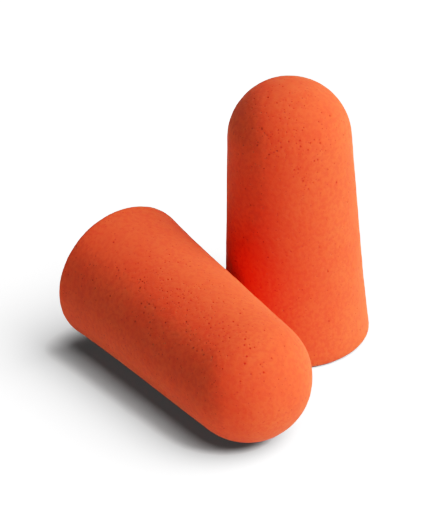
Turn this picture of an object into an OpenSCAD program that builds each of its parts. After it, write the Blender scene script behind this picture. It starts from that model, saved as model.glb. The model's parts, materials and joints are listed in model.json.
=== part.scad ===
// A pair of tapered foam ear plugs. Each plug is one moulded body of soft foam: a flat round base, a
// short flare at the rim, a long straight taper and a domed tip. One plug stands on its base at the
// origin. The other lies on its side beside it, resting on its rim and on the side of its dome.

/* [Plug] */
// Diameter of the rim at the base, the widest part
rim_d = 13; // [12:0.1:13.2]
// Diameter of the ball that closes the tip
tip_d = 10.5; // [9:0.1:11]
// Length from the flat base to the top of the dome
plug_l = 24.4; // [22:0.1:26]
// Radius that rounds the edge of the base
edge_r = 0.5; // [0.3:0.1:1]
// How far the rim stands out from the straight taper, carried down to the base
flare = 0.1; // [0.05:0.05:0.3]
// Height at which the flare has faded into the taper
flare_h = 7.5; // [3:0.5:10]

/* [Lying plug] */
// Direction in which its tip points, seen from above
lie_turn = -57; // [-58:1:-55]
// Sideways place of the centre of its base
lie_x = -15.3; // [-17:0.1:-15.2]
// Depth place of the centre of its base
lie_y = 1.3; // [1:0.1:2]

/* [Hidden] */
foam_colour = "#F2652E";
facets = 96;        // around a whole turn
arc_steps = 12;     // along the rounded edge and along the dome
flare_steps = 8;    // along the flare

rim_r = rim_d / 2;
tip_r = tip_d / 2;
ball_z = plug_l - tip_r;    // height of the centre of the tip's ball
foot_r = rim_r - flare;     // radius of the straight taper, carried down to the base

// The straight taper is the line from the foot that touches the tip's ball.
taper = acos(tip_r / norm([foot_r, ball_z])) - atan2(ball_z, foot_r);
function taper_r(z) = foot_r - z * tan(taper);

// The edge's arc ends where it has the slope at which the flare starts.
edge_x = rim_r - edge_r;
edge_end = atan(tan(taper) + 2 * (rim_r - taper_r(edge_r)) / (flare_h - edge_r));
flare_z = edge_r + edge_r * sin(edge_end);
flare_out = edge_x + edge_r * cos(edge_end) - taper_r(flare_z);

function arc(x, z, r, from, to) =
    [for (i = [0 : arc_steps]) let (a = from + (to - from) * i / arc_steps) [x + r * cos(a), z + r * sin(a)]];
function flare_point(t) =
    let (z = flare_z + t * (flare_h - flare_z)) [taper_r(z) + flare_out * pow(1 - t, 2), z];

outline = concat(
    [[0, 0]],
    arc(edge_x, edge_r, edge_r, -90, edge_end),
    [for (i = [1 : flare_steps]) flare_point(i / flare_steps)],
    arc(0, ball_z, tip_r, taper, 90)
);

// On its side, a plug rests on the line that touches both the edge's arc and the tip's ball.
lie_tilt = acos((tip_r - edge_r) / norm([edge_x, ball_z - edge_r])) - atan2(ball_z - edge_r, edge_x);
lie_z = edge_x * cos(lie_tilt) + edge_r * sin(lie_tilt) + edge_r;

module ear_plug() {
    rotate_extrude($fn = facets) polygon(outline);
}

module standing_plug() {
    color(foam_colour) ear_plug();
}

module lying_plug() {
    color(foam_colour)
        translate([lie_x, lie_y, lie_z])
            rotate([0, 90 + lie_tilt, lie_turn])
                ear_plug();
}

standing_plug();
lying_plug();
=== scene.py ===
"""Two orange foam ear plugs on a pale floor: one stands on its base and one lies on its side.

Each plug is one moulded body of slow-recovery foam, built as a triangle mesh in millimetres about its
own axis: a flat base at z = 0, a rounded edge, a short flare, a long taper and a domed tip. Open pores
are sunk into the mesh with painted shade in their hollows, and the fine grain of the skin is noise in
the material, with painted shade in its pits.
"""
import json
import math

import bpy
import numpy as np
from mathutils import Matrix, Vector
from mathutils.geometry import delaunay_2d_cdt


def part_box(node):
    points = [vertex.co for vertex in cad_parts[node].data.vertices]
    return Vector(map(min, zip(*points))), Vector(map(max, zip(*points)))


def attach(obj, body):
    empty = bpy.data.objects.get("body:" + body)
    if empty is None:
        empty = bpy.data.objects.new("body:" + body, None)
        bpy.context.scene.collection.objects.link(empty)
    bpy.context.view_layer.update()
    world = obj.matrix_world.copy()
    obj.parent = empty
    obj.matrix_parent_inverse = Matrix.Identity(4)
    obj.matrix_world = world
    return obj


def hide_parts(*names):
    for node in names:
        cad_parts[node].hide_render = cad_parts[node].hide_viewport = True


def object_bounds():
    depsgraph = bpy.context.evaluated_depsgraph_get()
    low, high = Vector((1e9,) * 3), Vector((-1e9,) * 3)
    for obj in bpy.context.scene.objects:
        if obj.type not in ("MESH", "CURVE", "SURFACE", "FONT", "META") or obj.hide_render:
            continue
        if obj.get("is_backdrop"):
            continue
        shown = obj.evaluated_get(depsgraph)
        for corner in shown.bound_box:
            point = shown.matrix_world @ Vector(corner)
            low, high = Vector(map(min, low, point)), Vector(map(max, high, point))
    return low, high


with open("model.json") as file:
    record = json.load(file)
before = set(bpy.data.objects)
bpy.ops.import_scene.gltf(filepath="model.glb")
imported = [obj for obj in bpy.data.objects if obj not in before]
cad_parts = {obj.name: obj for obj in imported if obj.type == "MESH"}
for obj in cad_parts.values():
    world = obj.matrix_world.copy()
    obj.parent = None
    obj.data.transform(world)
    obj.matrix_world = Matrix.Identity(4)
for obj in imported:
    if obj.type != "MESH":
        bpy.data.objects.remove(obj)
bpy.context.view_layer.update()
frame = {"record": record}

MM = 0.001

# The plug's outline in millimetres. The rim's diameter and the length come from the CAD box.
plug_low, plug_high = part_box("standing_plug")
RIM_R = (plug_high.x - plug_low.x) / 2 / MM
PLUG_L = plug_high.z / MM
TIP_R = 5.25            # radius of the ball that closes the tip
EDGE_R = 0.5            # radius that rounds the edge of the base
FLARE = 0.1             # how far the rim stands out from the straight taper
FLARE_H = 7.5           # height at which the flare has faded into the taper

# The mesh, in millimetres
GRID = 0.19             # distance between the skin's points
ROW_SHARE = 0.87        # distance between its rows, as a share of that
JITTER = 0.25           # how far a point strays, as a share of that distance
LUMPS = ((7.0, 0.008), (2.2, 0.004), (0.9, 0.003))   # wavelength and height of the skin's unevenness

# Open pores
PORE_SMALL, PORE_LARGE = 0.035, 0.08    # radius
PORE_RARITY = 1.8       # how much rarer the large ones are: 1 makes every size as common
PORE_SIDES = 8
PORE_UNEVEN = 0.18      # how far a pore is from round, as a share of its radius
BODY_TRIES, BASE_TRIES = 9000, 2500     # places tried for a pore
# The chance that a place outside the patches gets a pore, where the plug is widest
BODY_SPREAD, BASE_SPREAD = 0.03, 0.18
# Each ring of a pore: its radius as a share of the pore's, its depth in pore radii, and how much painted
# shade it gets.
PORE_RINGS = ((1.6, 0.0, 0.0), (1.05, 0.15, 0.5), (0.8, 0.9, 1.0), (0.45, 1.35, 1.0), (0.0, 1.5, 1.0))
PORE_CLEAR = 0.7        # distance that pores keep from the centre of the tip and of the base
PORE_EDGE = 0.25        # and from the edge of the flat base
PORE_GAP = 0.02         # and from each other's outer rings
GRID_CLEAR = 0.45       # and from the skin's other points, as a share of GRID


# ---------------------------------------------------------------- the plug's mesh

def outline():
    """Radius and height of the outline, point by point from the edge of the flat base to the tip."""
    ball_z = PLUG_L - TIP_R
    foot_r = RIM_R - FLARE
    taper = math.acos(TIP_R / math.hypot(foot_r, ball_z)) - math.atan2(ball_z, foot_r)

    def taper_r(z):
        return foot_r - z * math.tan(taper)

    edge_x = RIM_R - EDGE_R
    edge_end = math.atan(math.tan(taper) + 2 * (RIM_R - taper_r(EDGE_R)) / (FLARE_H - EDGE_R))
    flare_z = EDGE_R + EDGE_R * math.sin(edge_end)
    flare_out = edge_x + EDGE_R * math.cos(edge_end) - taper_r(flare_z)

    a = np.linspace(-math.pi / 2, edge_end, 200)
    edge = np.stack([edge_x + EDGE_R * np.cos(a), EDGE_R + EDGE_R * np.sin(a)], 1)
    z = np.linspace(flare_z, FLARE_H, 200)[1:]
    flare = np.stack([taper_r(z) + flare_out * ((FLARE_H - z) / (FLARE_H - flare_z)) ** 2, z], 1)
    a = np.linspace(taper, math.pi / 2, 400)
    dome = np.stack([TIP_R * np.cos(a), ball_z + TIP_R * np.sin(a)], 1)
    z = np.linspace(FLARE_H, dome[0, 1], 400)[1:-1]
    side = np.stack([taper_r(z), z], 1)
    return np.concatenate([edge, flare, side, dome])


class Skin:
    """A surface of revolution, measured by the distance along its outline and the turn around its axis."""

    def __init__(self, line):
        step = np.hypot(*np.diff(line, axis=0).T)
        self.along = np.concatenate([[0], np.cumsum(step)])
        self.length = self.along[-1]
        self.r, self.z = line.T
        slope = np.stack([np.gradient(self.r, self.along), np.gradient(self.z, self.along)], 1)
        self.slope = slope / np.linalg.norm(slope, axis=1)[:, None]

    def radius(self, along):
        return np.interp(along, self.along, self.r)

    def place(self, along, turn):
        """Points on the skin, and the directions that point out of it."""
        r, z = self.radius(along), np.interp(along, self.along, self.z)
        dr, dz = (np.interp(along, self.along, column) for column in self.slope.T)
        around = np.stack([np.cos(turn), np.sin(turn)], 1)
        point = np.column_stack([around * r[:, None], z])
        out = np.column_stack([around * dz[:, None], -dr])
        return point, out / np.linalg.norm(out, axis=1)[:, None]


class Body(Skin):
    """Everything but the flat base. Its flat map is a disc with the tip at its centre."""

    def __init__(self):
        super().__init__(outline())
        middle = np.maximum((self.r[1:] + self.r[:-1]) / 2, 1e-6)
        self.log_radius = -np.concatenate([[0], np.cumsum(np.diff(self.along) / middle)])

    def flat(self, along, turn):
        """The conformal map onto the disc, which keeps the shape of small triangles."""
        radius = np.exp(np.interp(along, self.along, self.log_radius))
        radius = np.where(along > self.length - 1e-6, 0, radius)
        return np.stack([radius * np.cos(turn), radius * np.sin(turn)], 1)


class Base(Skin):
    """The flat base, measured outward in from its edge. Its map is itself."""

    def __init__(self):
        r = np.linspace(RIM_R - EDGE_R, 0, 60)
        super().__init__(np.stack([r, np.zeros_like(r)], 1))
        self.slope = np.tile([-1.0, 0.0], (len(r), 1))

    def flat(self, along, turn):
        r = self.radius(along)
        return np.stack([r * np.cos(turn), r * np.sin(turn)], 1)

    def place(self, along, turn):
        point, _ = super().place(along, turn)
        return point, np.tile([0.0, 0.0, -1.0], (len(point), 1))


def waves(point, length, seed, count=48):
    """Smooth noise with about that wavelength: a sum of plane waves in random directions."""
    rng = np.random.default_rng(seed)
    direction = rng.normal(size=(count, 3))
    direction /= np.linalg.norm(direction, axis=1)[:, None]
    pitch = 2 * math.pi / (length * rng.uniform(0.7, 1.4, count))
    phase = rng.uniform(0, 2 * math.pi, count)
    return np.sin(point @ (direction * pitch[:, None]).T + phase).sum(1) * math.sqrt(2 / count)


def grid_points(skin, rng):
    """Points spread evenly over the skin, without its first edge and its pole."""
    rows = round(skin.length / GRID / ROW_SHARE)
    along, turn = [], []
    for row in range(1, rows):
        s = skin.length * row / rows
        count = max(5, round(2 * math.pi * float(skin.radius(s)) / GRID))
        t = 2 * math.pi * (np.arange(count) + rng.random()) / count
        stray = JITTER * GRID
        along.append(s + rng.uniform(-stray, stray, count))
        turn.append(t + rng.uniform(-stray, stray, count) / max(float(skin.radius(s)), GRID))
    return np.concatenate(along), np.concatenate(turn)


def pore_places(skin, tries, density, rng):
    """Centres and radii of pores that stay clear of each other. density(points) is the chance of each."""
    s = rng.uniform(PORE_EDGE, skin.length - PORE_CLEAR, tries)
    t = rng.uniform(0, 2 * math.pi, tries)
    size = PORE_SMALL + (PORE_LARGE - PORE_SMALL) * rng.random(tries) ** PORE_RARITY
    point, _ = skin.place(s, t)
    keep = rng.random(tries) < density(point) * skin.radius(s) / RIM_R
    kept = []
    for i in np.flatnonzero(keep):
        if kept:
            gap = np.linalg.norm(point[kept] - point[i], axis=1)
            if (gap < PORE_RINGS[0][0] * (size[kept] + size[i]) + PORE_GAP).any():
                continue
        kept.append(i)
    return s[kept], t[kept], size[kept], point[kept]


def pore_points(skin, s, t, size, rng):
    """The rings of points that make each pore: along, turn, depth and painted shade."""
    columns = []
    for along, turn, radius in zip(s, t, size):
        angle = 2 * math.pi * (np.arange(PORE_SIDES) + rng.random()) / PORE_SIDES
        uneven = 1 + rng.uniform(-PORE_UNEVEN, PORE_UNEVEN, PORE_SIDES)
        for share, depth, pore_shade in PORE_RINGS:
            a = angle if share else angle[:1]
            reach = radius * share * (uneven if share else 1)
            columns.append(np.stack([
                along + reach * np.cos(a),
                turn + reach * np.sin(a) / skin.radius(along),
                np.full(len(a), radius * depth),
                np.full(len(a), pore_shade),
            ]))
    return np.concatenate(columns, 1) if columns else np.zeros((4, 0))


def skin_mesh(skin, edge_turns, tries, density, rng):
    """Points, painted pore shade and triangles of one skin. Its first points are the edge's, in order."""
    grid_s, grid_t = grid_points(skin, rng)
    s, t, size, centre = pore_places(skin, tries, density, rng)
    grid, _ = skin.place(grid_s, grid_t)
    free = np.ones(len(grid), bool)
    for middle, radius in zip(centre, size):
        free &= np.linalg.norm(grid - middle, axis=1) > PORE_RINGS[0][0] * radius + GRID_CLEAR * GRID
    pores = pore_points(skin, s, t, size, rng)
    along = np.concatenate([np.zeros(len(edge_turns)), grid_s[free], [skin.length], pores[0]])
    turn = np.concatenate([edge_turns, grid_t[free], [0.0], pores[1]])
    plain = len(along) - pores.shape[1]
    depth = np.concatenate([np.zeros(plain), pores[2]])
    pore_shade = np.concatenate([np.zeros(plain), pores[3]])
    point, out = skin.place(along, turn)
    point = point - out * depth[:, None]

    flat = skin.flat(along, turn)
    done = delaunay_2d_cdt([Vector(p) for p in flat], [], [], 0, 1e-9)
    source = [ids[0] for ids in done[3]]
    triangles = np.array([[source[i] for i in face] for face in done[2]])
    a, b, c = (point[triangles[:, k]] for k in range(3))
    facing = (np.cross(b - a, c - a) * out[triangles[:, 0]]).sum(1)
    if np.median(facing) < 0:
        triangles = triangles[:, ::-1]
    return point, out, pore_shade, triangles


def plug_mesh(name, seed, density, base_density):
    """The whole plug in millimetres about its own axis, as a mesh with a pore attribute that holds the
    pores' painted shade.
    """
    rng = np.random.default_rng(seed)
    edge_count = round(2 * math.pi * (RIM_R - EDGE_R) / GRID)
    edge_turns = 2 * math.pi * np.arange(edge_count) / edge_count
    point, out, pore_shade, triangles = skin_mesh(Body(), edge_turns, BODY_TRIES, density, rng)
    low, low_out, low_pore_shade, low_triangles = skin_mesh(Base(), edge_turns, BASE_TRIES, base_density, rng)
    # The base shares the edge's points with the body.
    shifted = low_triangles + len(point) - edge_count
    low_triangles = np.where(low_triangles < edge_count, low_triangles, shifted)
    point = np.concatenate([point, low[edge_count:]])
    out = np.concatenate([out, low_out[edge_count:]])
    pore_shade = np.concatenate([pore_shade, low_pore_shade[edge_count:]])
    triangles = np.concatenate([triangles, low_triangles])
    for i, (length, height) in enumerate(LUMPS):
        point = point + out * (height * waves(point, length, seed * 10 + i))[:, None]
    point[:, 2] = np.maximum(point[:, 2], 0)

    mesh = bpy.data.meshes.new(name)
    mesh.from_pydata(point.tolist(), [], triangles.tolist())
    mesh.attributes.new("pore", "FLOAT", "POINT").data.foreach_set("value", pore_shade.astype(np.float32))
    mesh.validate()
    mesh.shade_smooth()
    return mesh


# ---------------------------------------------------------------- the foam

# Linear colours. They were tuned together with the lights below to match the photo, so they aren't
# measurements of the foam.
FOAM = (0.84, 0.086, 0.0230)
FOAM_LIGHT = (0.86, 0.100, 0.0265)
# Painted shade for the pits of the grain, where its bumps sink.
FOAM_PIT_SHADE = (0.75, 0.056, 0.0165)
# Painted shade for the pores: it darkens the hollows of the sunk pores and makes the smallest pores, which
# have no hollow.
PORE_SHADE_COLOUR = (0.56, 0.034, 0.012)
MOTTLE, GRAIN, FINE = 3.5, 0.34, 0.14   # millimetres across the largest features of each noise
GRAIN_HEIGHT, FINE_HEIGHT = 0.035, 0.012    # millimetres that each bump stands out
GLOW_DEPTH = 2.2        # millimetres that red light spreads inside the foam
PRICK_GAP = 0.33        # millimetres between the smallest pores
PRICK_SIZE = 0.30       # the largest one's radius, as a share of that gap
PRICK_EDGE = 7.0        # how quickly the painted shade of one deepens inward


def pinprick_shade(node, tree, place):
    """The smallest pores, which have no hollow in the mesh: dots of painted shade around random points, each
    of its own size, that lie near the surface.
    """
    cells = node("ShaderNodeTexVoronoi", feature="F1")
    cells.inputs["Scale"].default_value = 1 / (PRICK_GAP * MM)
    tree.links.new(place.outputs["Object"], cells.inputs["Vector"])
    size = node("ShaderNodeMath", operation="MULTIPLY")
    size.inputs[1].default_value = PRICK_SIZE
    tree.links.new(cells.outputs["Color"], size.inputs[0])
    inside = node("ShaderNodeMath", operation="SUBTRACT")
    tree.links.new(size.outputs["Value"], inside.inputs[0])
    tree.links.new(cells.outputs["Distance"], inside.inputs[1])
    depth = node("ShaderNodeMath", operation="MULTIPLY", use_clamp=True)
    depth.inputs[1].default_value = PRICK_EDGE
    tree.links.new(inside.outputs["Value"], depth.inputs[0])
    return depth.outputs["Value"]


def foam_material():
    """Matte orange foam: mottled colour, fine grain with painted shade in its pits, pores with painted
    shade, and light that spreads inside it.
    """
    material = bpy.data.materials.new("orange_foam")
    material.use_nodes = True
    tree = material.node_tree
    shader = tree.nodes["Principled BSDF"]

    def node(kind, **values):
        made = tree.nodes.new(kind)
        for name, value in values.items():
            setattr(made, name, value)
        return made

    def noise(size, detail):
        """Noise whose largest features are about that many millimetres across."""
        made = node("ShaderNodeTexNoise")
        made.inputs["Scale"].default_value = 1 / (size * MM)
        made.inputs["Detail"].default_value = detail
        tree.links.new(place.outputs["Object"], made.inputs["Vector"])
        return made.outputs["Fac"]

    def span(value, low, high, to_low, to_high):
        made = node("ShaderNodeMapRange", clamp=True)
        for name, number in (("From Min", low), ("From Max", high), ("To Min", to_low), ("To Max", to_high)):
            made.inputs[name].default_value = number
        tree.links.new(value, made.inputs["Value"])
        return made.outputs["Result"]

    def mix(factor, a, b):
        made = node("ShaderNodeMix", data_type="RGBA")
        tree.links.new(factor, made.inputs["Factor"])
        for name, colour in (("A", a), ("B", b)):
            socket = [i for i in made.inputs if i.name == name and i.type == "RGBA"][0]
            if isinstance(colour, tuple):
                socket.default_value = (*colour, 1)
            else:
                tree.links.new(colour, socket)
        return [o for o in made.outputs if o.type == "RGBA"][0]

    place = node("ShaderNodeTexCoord")
    mottle = noise(MOTTLE, 2)
    grain = noise(GRAIN, 2)
    fine = noise(FINE, 1)
    # The pores' painted shade, carried by the mesh's pore attribute.
    pore = node("ShaderNodeAttribute", attribute_name="pore").outputs["Fac"]
    prick_shade = pinprick_shade(node, tree, place)

    colour = mix(span(mottle, 0.35, 0.65, 0, 1), FOAM, FOAM_LIGHT)
    # Painted shade where the grain's bumps sink.
    colour = mix(span(grain, 0.60, 0.36, 0, 0.6), colour, FOAM_PIT_SHADE)
    # Painted shade for the smallest pores.
    colour = mix(prick_shade, colour, PORE_SHADE_COLOUR)
    # Painted shade in the hollows of the sunk pores.
    colour = mix(pore, colour, PORE_SHADE_COLOUR)
    tree.links.new(colour, shader.inputs["Base Color"])
    tree.links.new(span(grain, 0.3, 0.7, 0.82, 0.95), shader.inputs["Roughness"])

    bump = None
    for height, distance in ((grain, GRAIN_HEIGHT), (fine, FINE_HEIGHT)):
        made = node("ShaderNodeBump")
        made.inputs["Strength"].default_value = 1.0
        made.inputs["Distance"].default_value = distance * MM
        tree.links.new(height, made.inputs["Height"])
        if bump:
            tree.links.new(bump.outputs["Normal"], made.inputs["Normal"])
        bump = made
    tree.links.new(bump.outputs["Normal"], shader.inputs["Normal"])

    shader.inputs["Specular IOR Level"].default_value = 0.1
    shader.inputs["Subsurface Weight"].default_value = 0.7
    shader.inputs["Subsurface Radius"].default_value = (1.0, 0.10, 0.06)
    shader.inputs["Subsurface Scale"].default_value = GLOW_DEPTH * MM
    shader.inputs["Sheen Weight"].default_value = 0.02
    shader.inputs["Sheen Roughness"].default_value = 0.5
    return material


# ---------------------------------------------------------------- the two plugs

def patch(height, turn, high, wide, strength):
    """A patch with many pores: its centre, its spread in millimetres and in degrees, and its strength."""
    return height, math.radians(turn), high, math.radians(wide), strength


def density_of(spread, patches):
    """The chance that a pore stands at each point: the same everywhere, and more in the patches."""
    def density(point):
        chance = np.full(len(point), spread)
        angle = np.arctan2(point[:, 1], point[:, 0])
        for height, turn, high, wide, strength in patches:
            off = (angle - turn + math.pi) % (2 * math.pi) - math.pi
            away = ((point[:, 2] - height) / high) ** 2 + (off / wide) ** 2
            chance += strength * np.exp(-0.5 * away)
        return chance
    return density


def lying_frame():
    """Where the lying plug's own axes are, from the mount on its base."""
    mount = next(m for m in frame["record"]["mounts"] if m["name"] == "lying_base")
    axis = -Vector(mount["axis"])
    turn = Matrix.Rotation(math.atan2(axis.y, axis.x), 4, "Z") @ Matrix.Rotation(math.acos(axis.z), 4, "Y")
    return Matrix.Translation(Vector(mount["pos_m"])) @ turn


def foam_plug(name, node, place, seed, patches, material):
    mesh = plug_mesh(name, seed, density_of(BODY_SPREAD, patches), density_of(BASE_SPREAD, []))
    mesh.transform(place @ Matrix.Scale(MM, 4))
    mesh.materials.append(material)
    plug = bpy.data.objects.new(name, mesh)
    bpy.context.scene.collection.objects.link(plug)
    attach(plug, node)
    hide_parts(node)
    return plug


# The first patch of each plug follows the photo. The others are invented, mostly on sides that it
# doesn't show.
STANDING_PATCHES = [
    patch(21.5, -95, 2.0, 26, 0.45),
    patch(9, 60, 4.5, 30, 0.12),
    patch(15, 170, 3, 25, 0.10),
]
LYING_PATCHES = [
    patch(14.5, -155, 4.6, 17, 0.62),
    patch(12, 20, 4.5, 30, 0.12),
    patch(18, 100, 3, 25, 0.10),
]

foam = foam_material()
standing = foam_plug("standing_foam_plug", "standing_plug", Matrix(), 11, STANDING_PATCHES, foam)
lying = foam_plug("lying_foam_plug", "lying_plug", lying_frame(), 23, LYING_PATCHES, foam)


# ---------------------------------------------------------------- the studio

FLOOR_SIZE = 4.0            # metres
FLOOR_DROP = 0.02 * MM      # keeps the floor just clear of the flat base
VIEW_RISE = 30.5            # degrees that the camera looks down
VIEW_ROLL = -3.7            # degrees that it is turned about its own line of sight
VIEW_FAR = 140.6 * MM       # from the middle of the object
VIEW_LENS = 144.0           # with a 36 mm wide sensor
# From the middle of the object to the point that the camera looks at
VIEW_OFFSET = Vector((-0.07, -0.20, -0.35)) * MM

# Soft suns: compass direction (0 is +Y, 90 is +X), height above the floor, angle across, strength, and
# what each one lights. The floor has suns of its own, so that it shows as overexposed white paper with
# a short neutral shadow.
LIGHTS = (
    ("key", 115, 12, 50, 3.3, "plugs"),
    ("high_key", 112, 38, 50, 2.9, "plugs"),
    ("top", 88, 62, 45, 1.4, "plugs"),
    ("back", 40, 38, 45, 0.45, "plugs"),
    ("rim", 300, 12, 45, 0.25, "plugs"),
    ("floor_key", 108, 50, 45, 56.0, "floor"),
    ("floor_top", 135, 62, 45, 23.0, "floor"),
)
PAPER_SEEN = 0.1        # how much of its light the floor sends to the camera
PAPER_BOUNCE = 0.050    # and to the plugs
PAPER_GLOW = 0.036      # keeps the darkest shadow from turning black
# The photographic response, from scene light to picture: straight up to the knee, then a soft shoulder
# that reaches white. The world shines a little brighter than white.
TONE_KNEE = 0.6
TONE_WHITE = 1.9
TONE_SHOULDER = 0.8     # the shoulder's power: 1 is straight, and less is steeper after the knee
TONE_STEPS = 12         # curve points along the shoulder
WORLD_GLOW = 2.2


def paper_material():
    """White paper that is brighter to the camera than to the plugs."""
    paper = bpy.data.materials.new("white_paper")
    paper.use_nodes = True
    tree = paper.node_tree
    tree.nodes.remove(tree.nodes["Principled BSDF"])
    ray = tree.nodes.new("ShaderNodeLightPath")
    choice = tree.nodes.new("ShaderNodeMixShader")
    tree.links.new(ray.outputs["Is Camera Ray"], choice.inputs[0])
    for socket, grey, glow in ((1, PAPER_BOUNCE, 0.0), (2, PAPER_SEEN, PAPER_GLOW)):
        shader = tree.nodes.new("ShaderNodeBsdfPrincipled")
        shader.inputs["Base Color"].default_value = (grey, grey, grey, 1)
        shader.inputs["Roughness"].default_value = 1.0
        shader.inputs["Specular IOR Level"].default_value = 0.0
        shader.inputs["Emission Color"].default_value = (1, 1, 1, 1)
        shader.inputs["Emission Strength"].default_value = glow
        tree.links.new(shader.outputs["BSDF"], choice.inputs[socket])
    tree.links.new(choice.outputs["Shader"], tree.nodes["Material Output"].inputs["Surface"])
    return paper


def white_world():
    """A backdrop that is white to the camera and gives no light of its own."""
    world = bpy.data.worlds.new("studio")
    world.use_nodes = True
    tree = world.node_tree
    background = tree.nodes["Background"]
    ray = tree.nodes.new("ShaderNodeLightPath")
    glow = tree.nodes.new("ShaderNodeMath")
    glow.operation = "MULTIPLY"
    glow.inputs[1].default_value = WORLD_GLOW
    tree.links.new(ray.outputs["Is Camera Ray"], glow.inputs[0])
    tree.links.new(glow.outputs["Value"], background.inputs["Strength"])
    background.inputs["Color"].default_value = (1, 1, 1, 1)
    return world


def tone_curve(view):
    """Sets the response on the view's combined curve."""
    view.view_transform = "Standard"
    view.use_curve_mapping = True
    mapping = view.curve_mapping
    mapping.white_level = (TONE_WHITE, TONE_WHITE, TONE_WHITE)
    points = mapping.curves[3].points
    points[0].location = (0, 0)
    points[1].location = (1, 1)
    for step in range(TONE_STEPS):
        share = (step / TONE_STEPS) ** 2    # closer together near the knee, where the curve bends most
        light = TONE_KNEE + (TONE_WHITE - TONE_KNEE) * share
        points.new(light / TONE_WHITE, TONE_KNEE + (1 - TONE_KNEE) * share ** TONE_SHOULDER)
    for point in points:
        point.handle_type = "VECTOR"
    mapping.update()


def group(name, objects):
    made = bpy.data.collections.new(name)
    for member in objects:
        made.objects.link(member)
    return made


def studio(plugs):
    half = FLOOR_SIZE / 2
    corners = [(-half, -half, 0), (half, -half, 0), (half, half, 0), (-half, half, 0)]
    floor_mesh = bpy.data.meshes.new("floor")
    floor_mesh.from_pydata(corners, [], [(0, 1, 2, 3)])
    floor_mesh.materials.append(paper_material())
    floor = bpy.data.objects.new("floor", floor_mesh)
    floor.location.z = -FLOOR_DROP
    bpy.context.scene.collection.objects.link(floor)
    floor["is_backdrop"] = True

    lit = {"plugs": group("lit_plugs", plugs), "floor": group("lit_floor", [floor])}
    for name, compass, rise, across, strength, target in LIGHTS:
        light = bpy.data.lights.new(name, "SUN")
        light.energy = strength
        light.angle = math.radians(across)
        lamp = bpy.data.objects.new(name, light)
        lamp.rotation_euler = (math.radians(90 - rise), 0, math.radians(180 - compass))
        lamp.light_linking.receiver_collection = lit[target]
        bpy.context.scene.collection.objects.link(lamp)

    bpy.context.scene.world = white_world()
    tone_curve(bpy.context.scene.view_settings)


def camera():
    low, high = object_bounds()
    aim = (low + high) / 2 + VIEW_OFFSET
    rise = math.radians(VIEW_RISE)
    lens = bpy.data.cameras.new("camera")
    lens.sensor_fit = "HORIZONTAL"
    lens.sensor_width = 36.0
    lens.lens = VIEW_LENS
    lens.clip_start = 1 * MM
    lens.clip_end = 10.0
    view = bpy.data.objects.new("camera", lens)
    back = Vector((0, -math.cos(rise), math.sin(rise)))
    turn = Matrix.Rotation(math.pi / 2 - rise, 4, "X") @ Matrix.Rotation(math.radians(VIEW_ROLL), 4, "Z")
    view.matrix_world = Matrix.Translation(aim + back * VIEW_FAR) @ turn
    bpy.context.scene.collection.objects.link(view)
    bpy.context.scene.camera = view


studio([standing, lying])
camera()
